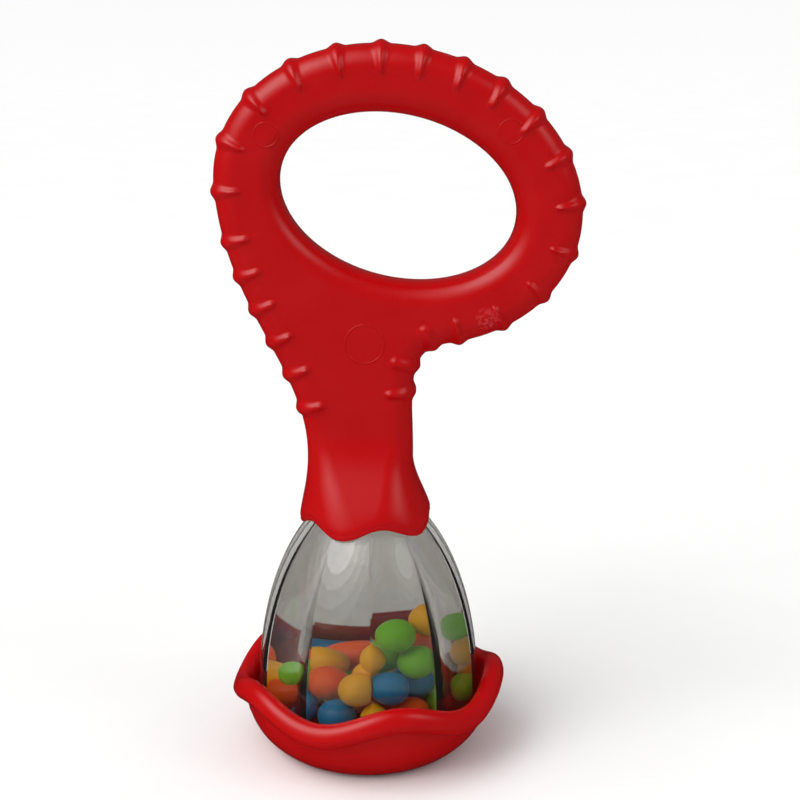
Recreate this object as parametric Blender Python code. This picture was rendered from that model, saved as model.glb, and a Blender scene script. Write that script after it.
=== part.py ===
"""Baby rattle: a ring handle in two shells, a clear ten-sided chamber of loose beads, its floor and its cup.

Metres, +Z up.  The chamber's axis is the world Z axis, the cup stands on Z = 0, the ring lies in the XZ plane
and the front faces -Y.  Azimuths run from the front (-Y) towards +X.
"""
import math

import bmesh
import bpy
import numpy as np

MM = 0.001                       # every size below is in millimetres

# ---- clearances
FIT_GAP = 0.3                    # between two pieces that seat on or in each other
FACET_SAG = 0.1                  # how far a round piece's flat facets reach inside its true circle
BEAD_GAP = 0.3                   # between resting beads

# ---- chamber: a dome, round outside and ten-sided inside, open below, with a spigot that the shells close on
SIDES = 10
EDGE_AZIMUTH = 3.0               # degrees, where a corner between two panels stands
CHAMBER_RADIUS = 24.85
CHAMBER_BELLY = 14.0             # height of the widest section
CHAMBER_RISE = 46.45             # from the belly to where the dome's curve would close
CHAMBER_WALL = 3.0               # at the middle of a panel, where it is thickest
CHAMBER_FOOT = 8.8

# ---- collar: the handle's flared, scalloped end, seated on the dome
COLLAR_BELOW_APEX = 6.95         # from where the dome would close down to the collar's edge
COLLAR_EDGE = CHAMBER_BELLY + CHAMBER_RISE - COLLAR_BELOW_APEX
COLLAR_WALL = 1.0
COLLAR_WAVE = 1.15               # the scallops' rise and fall
COLLAR_SWELL = 0.5               # the petals' swell outwards
WAVE_FADE = 9.0                  # height over which the collar's scallops die out
PETALS = 5
CREST_AZIMUTH = 13.9             # degrees, where a scallop is highest

# ---- the chamber's hidden top
DOME_TOP = COLLAR_EDGE + 2.5
CEILING_THICKNESS = 2.0
SPIGOT_RADIUS = 5.6
GROOVE_DEPTH = 1.6
GROOVE_HEIGHT = 2.0
GROOVE_FOOT = DOME_TOP + 3.4     # the shells' webs hold the chamber by this groove
SPIGOT_LIP = 2.6                 # above the groove, where the neck leaves room for it

# ---- handle: a hollow plate with a tilted oval finger hole and a neck
PLATE_HALF_DEPTH = 6.0
PLATE_EDGE_RADIUS = 5.0
FLAT_OF_EDGE = 0.5               # least straight stretch between a rounded edge and the parting plane
FLAT_OF_COLLAR = 0.7             # half the flat that is left in the middle of the collar's round
HANDLE_WALL = 2.0
WALL_FADE = 5.0                  # height over which the collar's wall thickens to the handle's
NECK_WAIST = COLLAR_EDGE + 15.5  # narrowest height
NECK_TOP = COLLAR_EDGE + 24.5    # height where the neck becomes the plate
NECK_LEFT = 14.4                 # neck's edges at that height
NECK_RIGHT = 9.9
WAIST_HALF_WIDTH = 11.6
WAIST_OFFSET = -1.5
RING_CENTRE = (6.9, NECK_TOP + 46.8)                    # x, z
RING_TILT = -14.6                # degrees, right end down
HOLE_SEMI = (25.5, 17.25)
BAND_WIDTH = 14.0
RING_START = 196.0               # ellipse angles where the left flank and the right corner leave the ring
RING_END = -62.0
FLANK_WAY = (-2.0, 7.0)          # direction in which the left flank leaves the neck
FLANK_PULL = (16.0, 22.0)        # how far each end's direction holds along the left flank
CORNER_PULL = (7.5, 10.0)

# ---- grip ribs over the handle's outer edge
RIB_HEIGHT = 0.8
RIB_HALF_WIDTH = 1.1
RING_RIBS = 17
RING_RIB_SPAN = (194.4, -67.0)   # bearings about the ring's centre, first and last
FLANK_RIBS = 5
FLANK_RIB_PITCH = 7.9
CORNER_RIBS = 3
CORNER_RIB_PITCH = 5.7

# ---- pins of the front shell in the sockets of the back shell
# ellipse angle, share of the band's width outwards from the hole, pin radius
SHELL_PINS = ((-89.0, 1.02, 2.6), (164.4, 0.40, 1.3), (54.2, 0.49, 1.3))
SOCKET_WALL = 1.2
PIN_REACH = 1.5                  # past the parting plane
SOCKET_SHORT = 0.4               # from a socket's mouth to the parting plane
POST_ROOT = 0.8                  # how deep pins and sockets root in the shells' walls

# ---- floor: closes the chamber once the beads are in
FLOOR_LEVEL = CHAMBER_FOOT + 0.7
FLOOR_THICKNESS = 1.6
FLANGE_THICKNESS = 1.2
FLANGE_INSET = 0.5               # the flange's edge inside the chamber's outer wall

# ---- cup: a bowl with a rolled, scalloped rim
FOOT_RADIUS = 17.7
CUP_FLOOR = 2.2
CUP_WALL = 2.2
BOWL_HEIGHT = 9.6
BOWL_CURVE = ((0.26, 0.05), (0.47, 0.19), (0.73, 0.45), (0.90, 0.73), (1.0, 1.0))  # shares of width, height
RIM_OVERHANG = 1.05              # the rim's centre outside the bowl's wall
RIM_HEIGHT = 15.1
RIM_WAVE = 2.05
RIM_HALF_WIDTH = 2.45
RIM_HALF_HEIGHT = 2.85
RIM_ROLL = (-105.0, 190.0)       # degrees about the rim's centre, from the wall outside to the wall inside
RIM_ROLL_STEPS = 8
LEDGE_WIDTH = 2.0

# ---- beads
BEAD_DIAMETER = 7.2
ROLL_STEP = 0.4                  # a bead's first and last step as it rolls to rest
LAST_ROLL_STEP = 0.02
WALL_PUSH = 10.0                 # how hard the wall drives a bead back, against a bead's own fall
# rings that are filled first: share of the widest ring, first azimuth, step, colours of its beads
BEAD_RINGS = (
    (1.00, -21.0, 360.0 / 14, "BYOGGYBOGBOYOB"),
    (0.52, 20.0, 360.0 / 7, "OGYBGOY"),
    (0.00, 0.0, 0.0, "G"),
)
# beads dropped on top: azimuth, share of the widest ring, colour
DROPPED_BEADS = ((-24.0, 1.00, "O"), (-24.0, 0.90, "Y"), (24.0, 1.00, "B"), (48.0, 0.70, "B"),
                 (-66.0, 1.00, "G"), (-60.0, 1.00, "Y"), (-12.0, 0.60, "Y"), (30.0, 0.90, "G"),
                 (54.0, 1.00, "G"), (-84.0, 0.10, "O"), (-162.0, 0.30, "B"), (84.0, 1.00, "Y"),
                 (120.0, 0.80, "O"), (90.0, 1.00, "B"), (-6.0, 0.90, "Y"), (18.0, 0.50, "G"),
                 (54.0, 0.90, "O"), (12.0, 0.90, "G"), (42.0, 0.80, "Y"), (78.0, 0.80, "G"))

RED = (0.53, 0.006, 0.009, 1.0)
CLEAR = (0.62, 0.61, 0.58, 1.0)
BEAD_PAINTS = {
    "Y": ("yellow", (0.80, 0.42, 0.02, 1.0)),
    "G": ("green", (0.20, 0.52, 0.06, 1.0)),
    "B": ("blue", (0.01, 0.22, 0.42, 1.0)),
    "O": ("orange", (0.84, 0.11, 0.015, 1.0)),
}

# ---- fineness of the meshes
EDGE_STEPS = 3                   # across a rounded edge
CURVE_STEPS = 400                # along each stretch of the handle's outline, before it is resampled
NECK_ROWS = 9
HOLE_STEPS = 48
ROUND_STEPS = 60                 # round a turned piece: a multiple of PETALS
DOME_ROWS = 12
PANEL_STEPS = 4                  # across each panel of the chamber
BEAD_ROWS = 6
BEAD_COLUMNS = 8


# ---------------------------------------------------------------- scene helpers

def clear_scene():
    """Remove every object, so that the model is built in an empty scene."""
    for obj in list(bpy.data.objects):
        bpy.data.objects.remove(obj, do_unlink=True)


def material(name, colour, roughness, transmission=0.0):
    """A Principled material of one colour."""
    made = bpy.data.materials.new(name)
    made.use_nodes = True
    shader = made.node_tree.nodes["Principled BSDF"]
    shader.inputs["Base Color"].default_value = colour
    shader.inputs["Roughness"].default_value = roughness
    shader.inputs["Metallic"].default_value = 0.0
    shader.inputs["Transmission Weight"].default_value = transmission
    return made


def mesh_object(name, points, faces, paint, fill_loops=()):
    """An object from points in millimetres and faces; each of fill_loops is a set of edges to fill flat."""
    mesh = bpy.data.meshes.new(name)
    mesh.from_pydata([tuple(MM * float(value) for value in point) for point in points], [], faces)
    bm = bmesh.new()
    bm.from_mesh(mesh)
    bm.verts.ensure_lookup_table()
    for pairs in fill_loops:
        edges = []
        for first, second in pairs:
            ends = (bm.verts[first], bm.verts[second])
            edges.append(bm.edges.get(ends) or bm.edges.new(ends))
        bmesh.ops.triangle_fill(bm, edges=edges, use_beauty=True)
    bmesh.ops.recalc_face_normals(bm, faces=bm.faces)
    bm.to_mesh(mesh)
    bm.free()
    mesh.materials.append(paint)
    mesh.shade_smooth()
    mesh.set_sharp_from_angle(angle=math.radians(35.0))
    obj = bpy.data.objects.new(name, mesh)
    bpy.context.scene.collection.objects.link(obj)
    return obj


def cutter(name, points, faces):
    """A guide solid for a Boolean, which the finished model leaves out."""
    obj = mesh_object(name, points, faces, None)
    obj.hide_render = True
    obj.display_type = "WIRE"
    return obj


def add_boolean(obj, operation, tool):
    """A live Boolean modifier."""
    modifier = obj.modifiers.new(tool.name, "BOOLEAN")
    modifier.operation = operation
    modifier.object = tool
    modifier.solver = "EXACT"


def grid_faces(rows, columns, closed):
    """Quads of a grid of points stored row by row; closed joins each row's last point to its first."""
    faces = []
    for row in range(rows - 1):
        for column in range(columns if closed else columns - 1):
            after = (column + 1) % columns
            faces.append((row * columns + column, row * columns + after,
                          (row + 1) * columns + after, (row + 1) * columns + column))
    return faces


def turned_piece(name, profile, paint, steps=ROUND_STEPS, shape=None):
    """A solid turned about Z from a profile of (radius, z) that starts and ends on the axis.

    shape(radius, z, azimuth in radians) may move each point; it returns a new radius and z.
    """
    azimuths = np.arange(steps) * (2.0 * math.pi / steps)
    points = []
    for radius, height in profile[1:-1]:
        for azimuth in azimuths:
            here = shape(radius, height, azimuth) if shape else (radius, height)
            points.append((here[0] * math.sin(azimuth), -here[0] * math.cos(azimuth), here[1]))
    rows = len(profile) - 2
    faces = grid_faces(rows, steps, True)
    for ring, pole in ((0, profile[0]), (rows - 1, profile[-1])):
        centre = len(points)
        points.append((0.0, 0.0, pole[1]))
        for column in range(steps):
            faces.append((ring * steps + column, ring * steps + (column + 1) % steps, centre))
    return mesh_object(name, points, faces, paint)


def cylinder(centre, radius, low, high, steps=20):
    """Points and faces of a closed cylinder along Y, with its axis at centre (x, z)."""
    angles = np.arange(steps) * (2.0 * math.pi / steps)
    points = [(centre[0] + radius * math.cos(angle), level, centre[1] + radius * math.sin(angle))
              for level in (low, high) for angle in angles]
    faces = grid_faces(2, steps, True)
    faces.append(tuple(range(steps)))
    faces.append(tuple(range(steps, 2 * steps)))
    return points, faces


def joined(solids):
    """One list of points and faces from several separate solids."""
    points, faces = [], []
    for more_points, more_faces in solids:
        faces.extend(tuple(index + len(points) for index in face) for face in more_faces)
        points.extend(more_points)
    return points, faces


# ---------------------------------------------------------------- shapes that several pieces share

def smooth_step(value, low, high):
    """0 below low, 1 above high, and a smooth rise between them."""
    share = np.clip((value - low) / (high - low), 0.0, 1.0)
    return share * share * (3.0 - 2.0 * share)


def petal_wave(azimuth):
    """1 on a scallop's crest and -1 at a petal's tip; azimuth in radians."""
    return np.cos(PETALS * (azimuth - math.radians(CREST_AZIMUTH)))


def dome_radius(height):
    """The chamber's own outer radius: a quarter ellipse above the belly, straight below it."""
    rise = np.clip((height - CHAMBER_BELLY) / CHAMBER_RISE, 0.0, 1.0)
    return CHAMBER_RADIUS * np.sqrt(1.0 - rise * rise)


def chamber_apothem(height):
    """Distance from the axis to the middle of a panel's inner face."""
    return dome_radius(height) - CHAMBER_WALL


def panel_radius(height, azimuth):
    """Distance from the axis to the ten-sided inner face at an azimuth in radians."""
    pitch = 2.0 * math.pi / SIDES
    from_edge = (azimuth - math.radians(EDGE_AZIMUTH)) % pitch
    return float(chamber_apothem(height)) / math.cos(from_edge - pitch / 2.0)


def collar_radius():
    """The collar's edge clears the dome at its petals' tips, where both reach lowest and widest."""
    seat = float(dome_radius(COLLAR_EDGE - COLLAR_WAVE))
    return seat + FIT_GAP + FACET_SAG + COLLAR_WALL - COLLAR_SWELL


# ---------------------------------------------------------------- handle outline

def ellipse_point(semi, angle, grow=0.0):
    """Points of the ring's tilted ellipses; angle in degrees in the ellipse's own frame."""
    turn = np.radians(np.asarray(angle, dtype=float))
    along = (semi[0] + grow) * np.cos(turn)
    across = (semi[1] + grow) * np.sin(turn)
    tilt = math.radians(RING_TILT)
    return np.stack([RING_CENTRE[0] + along * math.cos(tilt) - across * math.sin(tilt),
                     RING_CENTRE[1] + along * math.sin(tilt) + across * math.cos(tilt)], axis=-1)


def bezier(start, start_pull, end_pull, end):
    """A cubic curve between two points through two pull points."""
    share = np.linspace(0.0, 1.0, CURVE_STEPS)[:, None]
    rest = 1.0 - share
    return (rest ** 3 * np.array(start) + 3 * rest ** 2 * share * np.array(start_pull)
            + 3 * rest * share ** 2 * np.array(end_pull) + share ** 3 * np.array(end))


def neck_edges(height):
    """Left and right edges of the neck: straight above the waist, flared to the round collar below it."""
    above = np.clip((height - NECK_WAIST) / (NECK_TOP - NECK_WAIST), 0.0, 1.0)
    flare = 1.0 - smooth_step(height, COLLAR_EDGE - 2.0, NECK_WAIST - 1.0)
    left = -WAIST_OFFSET + WAIST_HALF_WIDTH
    right = WAIST_OFFSET + WAIST_HALF_WIDTH
    left = left + (NECK_LEFT - left) * above ** 2
    right = right + (NECK_RIGHT - right) * above ** 2
    return -(left + (collar_radius() - left) * flare), right + (collar_radius() - right) * flare


def outline():
    """The plate's outline above the neck, from the neck's left side over the ring to its right side.

    Returns the dense points and the arc lengths at which the ring starts and ends.
    """
    outer = (HOLE_SEMI[0] + BAND_WIDTH, HOLE_SEMI[1] + BAND_WIDTH)
    angles = np.linspace(RING_START, RING_END, CURVE_STEPS)
    ring = ellipse_point(outer, angles)
    start_way = ring[0] - ring[1]
    start_way = start_way / np.hypot(*start_way)
    end_way = ring[-1] - ring[-2]
    end_way = end_way / np.hypot(*end_way)
    neck_left = np.array([-NECK_LEFT, NECK_TOP])
    neck_right = np.array([NECK_RIGHT, NECK_TOP])
    lean = np.array(FLANK_WAY) / math.hypot(*FLANK_WAY)
    flank = bezier(neck_left, neck_left + lean * FLANK_PULL[0],
                   ring[0] + start_way * FLANK_PULL[1], ring[0])
    corner = bezier(ring[-1], ring[-1] + end_way * CORNER_PULL[0],
                    neck_right + np.array([0.0, CORNER_PULL[1]]), neck_right)
    points = np.concatenate([flank, ring[1:], corner[1:]])
    lengths = np.concatenate([[0.0], np.cumsum(np.hypot(*np.diff(points, axis=0).T))])
    return points, lengths, lengths[CURVE_STEPS - 1], lengths[2 * CURVE_STEPS - 2]


def rib_stations(points, lengths, ring_from, ring_to):
    """Arc lengths of the ribs: at equal bearings round the ring, then at equal steps down each side."""
    from_centre = points - np.array(RING_CENTRE)
    bearing = np.degrees(np.unwrap(np.arctan2(from_centre[:, 1], from_centre[:, 0])))
    turns = (RING_RIB_SPAN[0] - np.interp(ring_from, lengths, bearing)) / 360.0
    bearing = bearing + 360.0 * round(turns)
    wanted = np.linspace(RING_RIB_SPAN[0], RING_RIB_SPAN[1], RING_RIBS)
    order = np.argsort(bearing)
    on_ring = np.interp(wanted, bearing[order], lengths[order])
    left = on_ring[0] - FLANK_RIB_PITCH * np.arange(FLANK_RIBS, 0, -1)
    right = on_ring[-1] + CORNER_RIB_PITCH * np.arange(1, CORNER_RIBS + 1)
    return np.concatenate([left, on_ring, right])


def outline_samples():
    """The resampled outline: points, inward normals and rib heights, with four samples on each rib."""
    points, lengths, ring_from, ring_to = outline()
    ribs = rib_stations(points, lengths, ring_from, ring_to)
    shares = np.array([-1.0, -0.4, 0.4, 1.0])
    stations, heights = [0.0], [0.0]
    for index, rib in enumerate(ribs):
        stations.extend(rib + shares * RIB_HALF_WIDTH)
        heights.extend(RIB_HEIGHT * (np.abs(shares) < 0.5))
        after = ribs[index + 1] if index + 1 < len(ribs) else lengths[-1]
        gap_from, gap_to = rib + RIB_HALF_WIDTH, after - RIB_HALF_WIDTH
        between = 2 if gap_to - gap_from > 7.0 else 1
        stations.extend(np.linspace(gap_from, gap_to, between + 2)[1:-1])
        heights.extend([0.0] * between)
    stations.append(lengths[-1])
    heights.append(0.0)
    stations = np.array(stations)
    here = np.stack([np.interp(stations, lengths, points[:, axis]) for axis in (0, 1)], axis=1)
    step = 0.4
    ahead = np.stack([np.interp(stations + step, lengths, points[:, axis]) for axis in (0, 1)], axis=1)
    behind = np.stack([np.interp(stations - step, lengths, points[:, axis]) for axis in (0, 1)], axis=1)
    along = ahead - behind
    along = along / np.hypot(along[:, 0], along[:, 1])[:, None]
    inward = np.stack([along[:, 1], -along[:, 0]], axis=1)
    return here, inward, np.array(heights)


# ---------------------------------------------------------------- handle shells

def section_sizes(height):
    """Half depth, edge radius across, edge radius in depth and wall of the handle at a height."""
    flare = 1.0 - smooth_step(height, COLLAR_EDGE + 1.0, NECK_WAIST)
    left, right = neck_edges(height)
    half_width = (right - left) / 2.0
    edge = min(PLATE_EDGE_RADIUS, PLATE_HALF_DEPTH - FLAT_OF_EDGE)
    depth = PLATE_HALF_DEPTH + (collar_radius() - PLATE_HALF_DEPTH) * flare
    across = edge + (half_width - FLAT_OF_COLLAR - edge) * flare
    deep = edge + (collar_radius() - FLAT_OF_EDGE - edge) * flare
    thinned = 1.0 - smooth_step(height, COLLAR_EDGE, COLLAR_EDGE + WALL_FADE)
    wall = HANDLE_WALL + (COLLAR_WALL - HANDLE_WALL) * float(thinned)
    return depth, across, deep, wall


def edge_loops(height, inner):
    """(inset, depth, outward share, depth share) of the points across one rounded edge of the shell."""
    depth, across, deep, wall = section_sizes(height)
    offset = wall if inner else 0.0
    across, deep, depth = across - offset, deep - offset, depth - offset
    loops = [(offset, FIT_GAP / 2.0, 1.0, 0.0)]
    for step in range(EDGE_STEPS + 1):
        turn = math.radians(90.0) * step / EDGE_STEPS
        loops.append((offset + across * (1.0 - math.cos(turn)), depth - deep + deep * math.sin(turn),
                      math.cos(turn), math.sin(turn)))
    return loops


def scallop(points):
    """Apply the collar's scallops to handle points: a wave of the height and a swell of the petals."""
    for point in points:
        azimuth = math.atan2(point[0], -point[1])
        fade = 1.0 - float(smooth_step(point[2], COLLAR_EDGE, COLLAR_EDGE + WAVE_FADE))
        wave = float(petal_wave(azimuth)) * fade
        radius = math.hypot(point[0], point[1])
        swell = 1.0 - COLLAR_SWELL * wave / radius
        point[0] *= swell
        point[1] *= swell
        point[2] += COLLAR_WAVE * wave
    return points


def shell_surface(side, inner):
    """One face of a handle shell: points, faces, the loops that the caller closes and the flat's edges."""
    heights = np.linspace(COLLAR_EDGE, NECK_TOP, NECK_ROWS + 1)[:-1]
    plate, inward, ribs = outline_samples()
    rows = []
    for height in heights:
        left = neck_edges(height)[0]
        rows.append([(left + inset, side * depth, height)
                     for inset, depth, _, _ in edge_loops(height, inner)])
    for (x, z), (nx, nz), rib in zip(plate, inward, ribs):
        row = []
        for inset, depth, out, deep in edge_loops(NECK_TOP, inner):
            lift = 0.0 if inner else rib * min(1.0, 2.0 * out)
            step = inset - lift * out
            row.append((x + nx * step, side * (depth + lift * deep), z + nz * step))
        rows.append(row)
    for height in heights[::-1]:
        right = neck_edges(height)[1]
        rows.append([(right - inset, side * depth, height)
                     for inset, depth, _, _ in edge_loops(height, inner)])
    columns = EDGE_STEPS + 2
    points = [list(point) for row in rows for point in row]
    faces = grid_faces(len(rows), columns, False)
    last = columns - 1
    total = len(rows)
    for row in range(NECK_ROWS):
        faces.append((row * columns + last, (row + 1) * columns + last,
                      (total - 2 - row) * columns + last, (total - 1 - row) * columns + last))
    hole_start = len(points)
    angles = np.arange(HOLE_STEPS) * (360.0 / HOLE_STEPS)
    for inset, depth, _, _ in edge_loops(NECK_TOP, inner):
        for x, z in ellipse_point(HOLE_SEMI, angles, inset):
            points.append([x, side * depth, z])
    for face in grid_faces(columns, HOLE_STEPS, True):
        faces.append(tuple(hole_start + index for index in face))
    first_flat, last_flat = NECK_ROWS, total - 1 - NECK_ROWS
    flat = [(row * columns + last, (row + 1) * columns + last) for row in range(first_flat, last_flat)]
    flat.append((last_flat * columns + last, first_flat * columns + last))
    top_of_hole = hole_start + (columns - 1) * HOLE_STEPS
    flat.extend((top_of_hole + step, top_of_hole + (step + 1) % HOLE_STEPS) for step in range(HOLE_STEPS))
    edge = [row * columns for row in range(total)]
    mouth = list(range(columns)) + [(total - 1) * columns + column for column in reversed(range(columns))]
    hole = list(range(hole_start, hole_start + HOLE_STEPS))
    return scallop(points), faces, (edge, mouth, hole), flat


def handle_shell(name, side, paint):
    """A handle half: outer and inner faces joined along the parting plane, the hole and the mouth."""
    points, faces, outer_loops, outer_flat = shell_surface(side, False)
    shift = len(points)
    inner_points, inner_faces, inner_loops, inner_flat = shell_surface(side, True)
    points.extend(inner_points)
    faces.extend(tuple(index + shift for index in face) for face in inner_faces)
    for outer, inner, closed in zip(outer_loops, inner_loops, (False, False, True)):
        count = len(outer)
        for index in range(count if closed else count - 1):
            after = (index + 1) % count
            faces.append((outer[index], outer[after], inner[after] + shift, inner[index] + shift))
    inner_flat = [(first + shift, second + shift) for first, second in inner_flat]
    return mesh_object(name, points, faces, paint, (outer_flat, inner_flat))


def collar_web(side):
    """A web across the collar, cut out round the spigot's groove: a flat outline between two heights."""
    low, high = GROOVE_FOOT + FIT_GAP, GROOVE_FOOT + GROOVE_HEIGHT - FIT_GAP
    middle = (low + high) / 2.0
    left, right = neck_edges(middle)
    wall = section_sizes(middle)[3]
    sunk = [(inset + wall / 2.0 * out, side * (depth - wall / 2.0 * deep))
            for inset, depth, out, deep in edge_loops(middle, False)]
    rim = [(left + inset, y) for inset, y in sunk]
    rim += [(right - inset, y) for inset, y in reversed(sunk)]
    notch = SPIGOT_RADIUS - GROOVE_DEPTH + FIT_GAP
    start = math.asin(FIT_GAP / 2.0 / notch)
    turns = np.linspace(start, math.pi - start, 9)
    rim += [(notch * math.cos(turn), side * notch * math.sin(turn)) for turn in turns]
    count = len(rim)
    points = [(x, y, z) for z in (low, high) for x, y in rim]
    faces = grid_faces(2, count, True) + [tuple(range(count)), tuple(range(count, 2 * count))]
    return points, faces


def build_handle(paint):
    """Both shells: pins in the front one, sockets in the back one, and in each a web for the spigot."""
    root = PLATE_HALF_DEPTH - HANDLE_WALL + POST_ROOT
    pins, sockets, bores = [], [], []
    for angle, share, radius in SHELL_PINS:
        place = ellipse_point(HOLE_SEMI, angle, share * BAND_WIDTH)
        pins.append(cylinder(place, radius, -root, PIN_REACH))
        sockets.append(cylinder(place, radius + FIT_GAP + SOCKET_WALL, SOCKET_SHORT, root))
        bores.append(cylinder(place, radius + FIT_GAP, 0.0, PIN_REACH + 2.0 * FIT_GAP))
    pins_tool = cutter("pins_tool", *joined(pins))
    sockets_tool = cutter("sockets_tool", *joined(sockets))
    bores_tool = cutter("bores_tool", *joined(bores))
    front = handle_shell("handle_front", -1.0, paint)
    back = handle_shell("handle_back", 1.0, paint)
    add_boolean(front, "UNION", pins_tool)
    add_boolean(front, "UNION", cutter("front_web_tool", *collar_web(-1.0)))
    add_boolean(back, "UNION", sockets_tool)
    add_boolean(back, "UNION", cutter("back_web_tool", *collar_web(1.0)))
    add_boolean(back, "DIFFERENCE", bores_tool)


# ---------------------------------------------------------------- chamber, floor and cup

def spigot_top():
    """The spigot ends its lip above the groove, or where the neck's inside becomes too shallow for it."""
    top = GROOVE_FOOT + GROOVE_HEIGHT + SPIGOT_LIP
    for height in np.arange(GROOVE_FOOT + GROOVE_HEIGHT, top, 0.1):
        depth, _, _, wall = section_sizes(height)
        if depth - wall < SPIGOT_RADIUS + 2.0 * FIT_GAP:
            return float(height)
    return top


def build_chamber(paint):
    """The clear dome with its spigot; inside, the wall is cut flat in panels."""
    heights = np.linspace(CHAMBER_FOOT, DOME_TOP, DOME_ROWS)
    ceiling = DOME_TOP - CEILING_THICKNESS
    inner_heights = np.linspace(CHAMBER_FOOT, ceiling, DOME_ROWS)
    core = SPIGOT_RADIUS - GROOVE_DEPTH
    groove_top = GROOVE_FOOT + GROOVE_HEIGHT
    spigot = [(SPIGOT_RADIUS, GROOVE_FOOT), (core, GROOVE_FOOT), (core, groove_top),
              (SPIGOT_RADIUS, groove_top), (SPIGOT_RADIUS, spigot_top())]
    inside = [("inside", height) for height in inner_heights[::-1]]
    outside = [("outside", height) for height in heights]
    rest = [("round", (SPIGOT_RADIUS, DOME_TOP))] + [("round", point) for point in spigot]
    rows = inside + outside + rest
    steps = SIDES * PANEL_STEPS
    azimuths = math.radians(EDGE_AZIMUTH) + np.arange(steps) * (2.0 * math.pi / steps)
    points = []
    for kind, value in rows:
        for azimuth in azimuths:
            if kind == "round":
                radius, height = value
            else:
                height = float(value)
                radius = panel_radius(height, azimuth) if kind == "inside" else float(dome_radius(height))
            points.append((radius * math.sin(azimuth), -radius * math.cos(azimuth), height))
    faces = grid_faces(len(rows), steps, True)
    for ring, level in ((0, ceiling), (len(rows) - 1, spigot_top())):
        centre = len(points)
        points.append((0.0, 0.0, level))
        for column in range(steps):
            faces.append((ring * steps + column, ring * steps + (column + 1) % steps, centre))
    return mesh_object("chamber", points, faces, paint)


def floor_radius():
    """The floor's plug fits inside the chamber's panels."""
    return float(chamber_apothem(CHAMBER_FOOT)) - FIT_GAP


def flange_radius():
    """The floor's flange lies under the chamber's edge."""
    return float(dome_radius(CHAMBER_FOOT)) - FLANGE_INSET


def build_floor(paint):
    """The floor: a plug in the chamber's mouth, on a flange that lies under the chamber's edge."""
    flange_top = CHAMBER_FOOT - FIT_GAP
    flange_foot = flange_top - FLANGE_THICKNESS
    ceiling = FLOOR_LEVEL - FLOOR_THICKNESS
    recess = floor_radius() - FLOOR_THICKNESS
    profile = [(0.0, ceiling), (recess, ceiling), (recess, flange_foot), (flange_radius(), flange_foot),
               (flange_radius(), flange_top), (floor_radius(), flange_top), (floor_radius(), FLOOR_LEVEL),
               (0.0, FLOOR_LEVEL)]
    turned_piece("chamber_floor", profile, paint)


def build_cup(paint):
    """The cup: a rounded bowl, a ledge for the floor, and a rolled rim that rises and falls in petals."""
    ledge = CHAMBER_FOOT - 2.0 * FIT_GAP - FLANGE_THICKNESS
    bore = float(dome_radius(CHAMBER_FOOT)) + FIT_GAP + FACET_SAG
    ledge_radius = flange_radius() - LEDGE_WIDTH
    wall_radius = bore + CUP_WALL
    outer = [(FOOT_RADIUS, 0.0)]
    for across, up in BOWL_CURVE:
        outer.append((FOOT_RADIUS + (wall_radius - FOOT_RADIUS) * across, BOWL_HEIGHT * up))
    roll = []
    for turn in np.radians(np.linspace(*RIM_ROLL, RIM_ROLL_STEPS + 1)):
        roll.append((wall_radius + RIM_OVERHANG + RIM_HALF_WIDTH * math.cos(turn),
                     RIM_HEIGHT + RIM_HALF_HEIGHT * math.sin(turn)))
    seat_top = (ledge + RIM_HEIGHT) / 2.0
    inside = min(FOOT_RADIUS, ledge_radius) - CUP_WALL
    inner = [(bore, seat_top), (bore, ledge), (ledge_radius, ledge),
             ((ledge_radius + inside) / 2.0, (ledge + CUP_FLOOR) / 2.0 - CUP_WALL / 2.0), (inside, CUP_FLOOR)]
    profile = [(0.0, 0.0)] + outer + roll + inner + [(0.0, CUP_FLOOR)]

    def rim_shape(radius, height, azimuth):
        """The rolled rim waves, and the wall under it follows less and less."""
        fade = float(smooth_step(height, BOWL_HEIGHT - CUP_FLOOR, RIM_HEIGHT - RIM_HALF_HEIGHT))
        return radius, height + RIM_WAVE * fade * float(petal_wave(azimuth))

    turned_piece("base_cup", profile, paint, shape=rim_shape)


# ---------------------------------------------------------------- beads

def wall_limit(heights):
    """How far from the axis a bead's centre may lie at each height."""
    return chamber_apothem(heights + BEAD_DIAMETER / 2.0) - BEAD_DIAMETER / 2.0 - FIT_GAP


def resting_heights(spots, placed):
    """Heights of a bead's centre, lowered at each spot until it meets the floor or a bead."""
    reach = BEAD_DIAMETER + BEAD_GAP
    lowest = FLOOR_LEVEL + FIT_GAP + BEAD_DIAMETER / 2.0
    heights = np.full(len(spots), lowest)
    if len(placed):
        others = np.array(placed)
        apart = np.hypot(spots[:, None, 0] - others[:, 0], spots[:, None, 1] - others[:, 1])
        over = others[:, 2] + np.sqrt(np.maximum(reach * reach - apart * apart, 0.0))
        heights = np.maximum(heights, np.where(apart < reach, over, lowest).max(axis=1))
    return heights


def settled(azimuth, radius, placed):
    """A bead dropped at an azimuth and radius rolls downhill, inside the wall, until nothing is lower."""
    spot = np.array([radius * math.sin(azimuth), -radius * math.cos(azimuth)])
    ways = np.radians(np.arange(0.0, 360.0, 22.5))
    ways = np.stack([np.cos(ways), np.sin(ways)], axis=1)
    step = ROLL_STEP
    while step > LAST_ROLL_STEP:
        spots = np.concatenate([spot[None, :], spot + step * ways])
        heights = resting_heights(spots, placed)
        outside = np.maximum(np.hypot(spots[:, 0], spots[:, 1]) - wall_limit(heights), 0.0)
        costs = heights + WALL_PUSH * outside
        best = int(np.argmin(costs))
        if costs[best] < costs[0] - 1e-6:
            spot = spots[best]
        else:
            step /= 2.0
    return spot[0], spot[1], float(resting_heights(spot[None, :], placed)[0])


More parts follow.
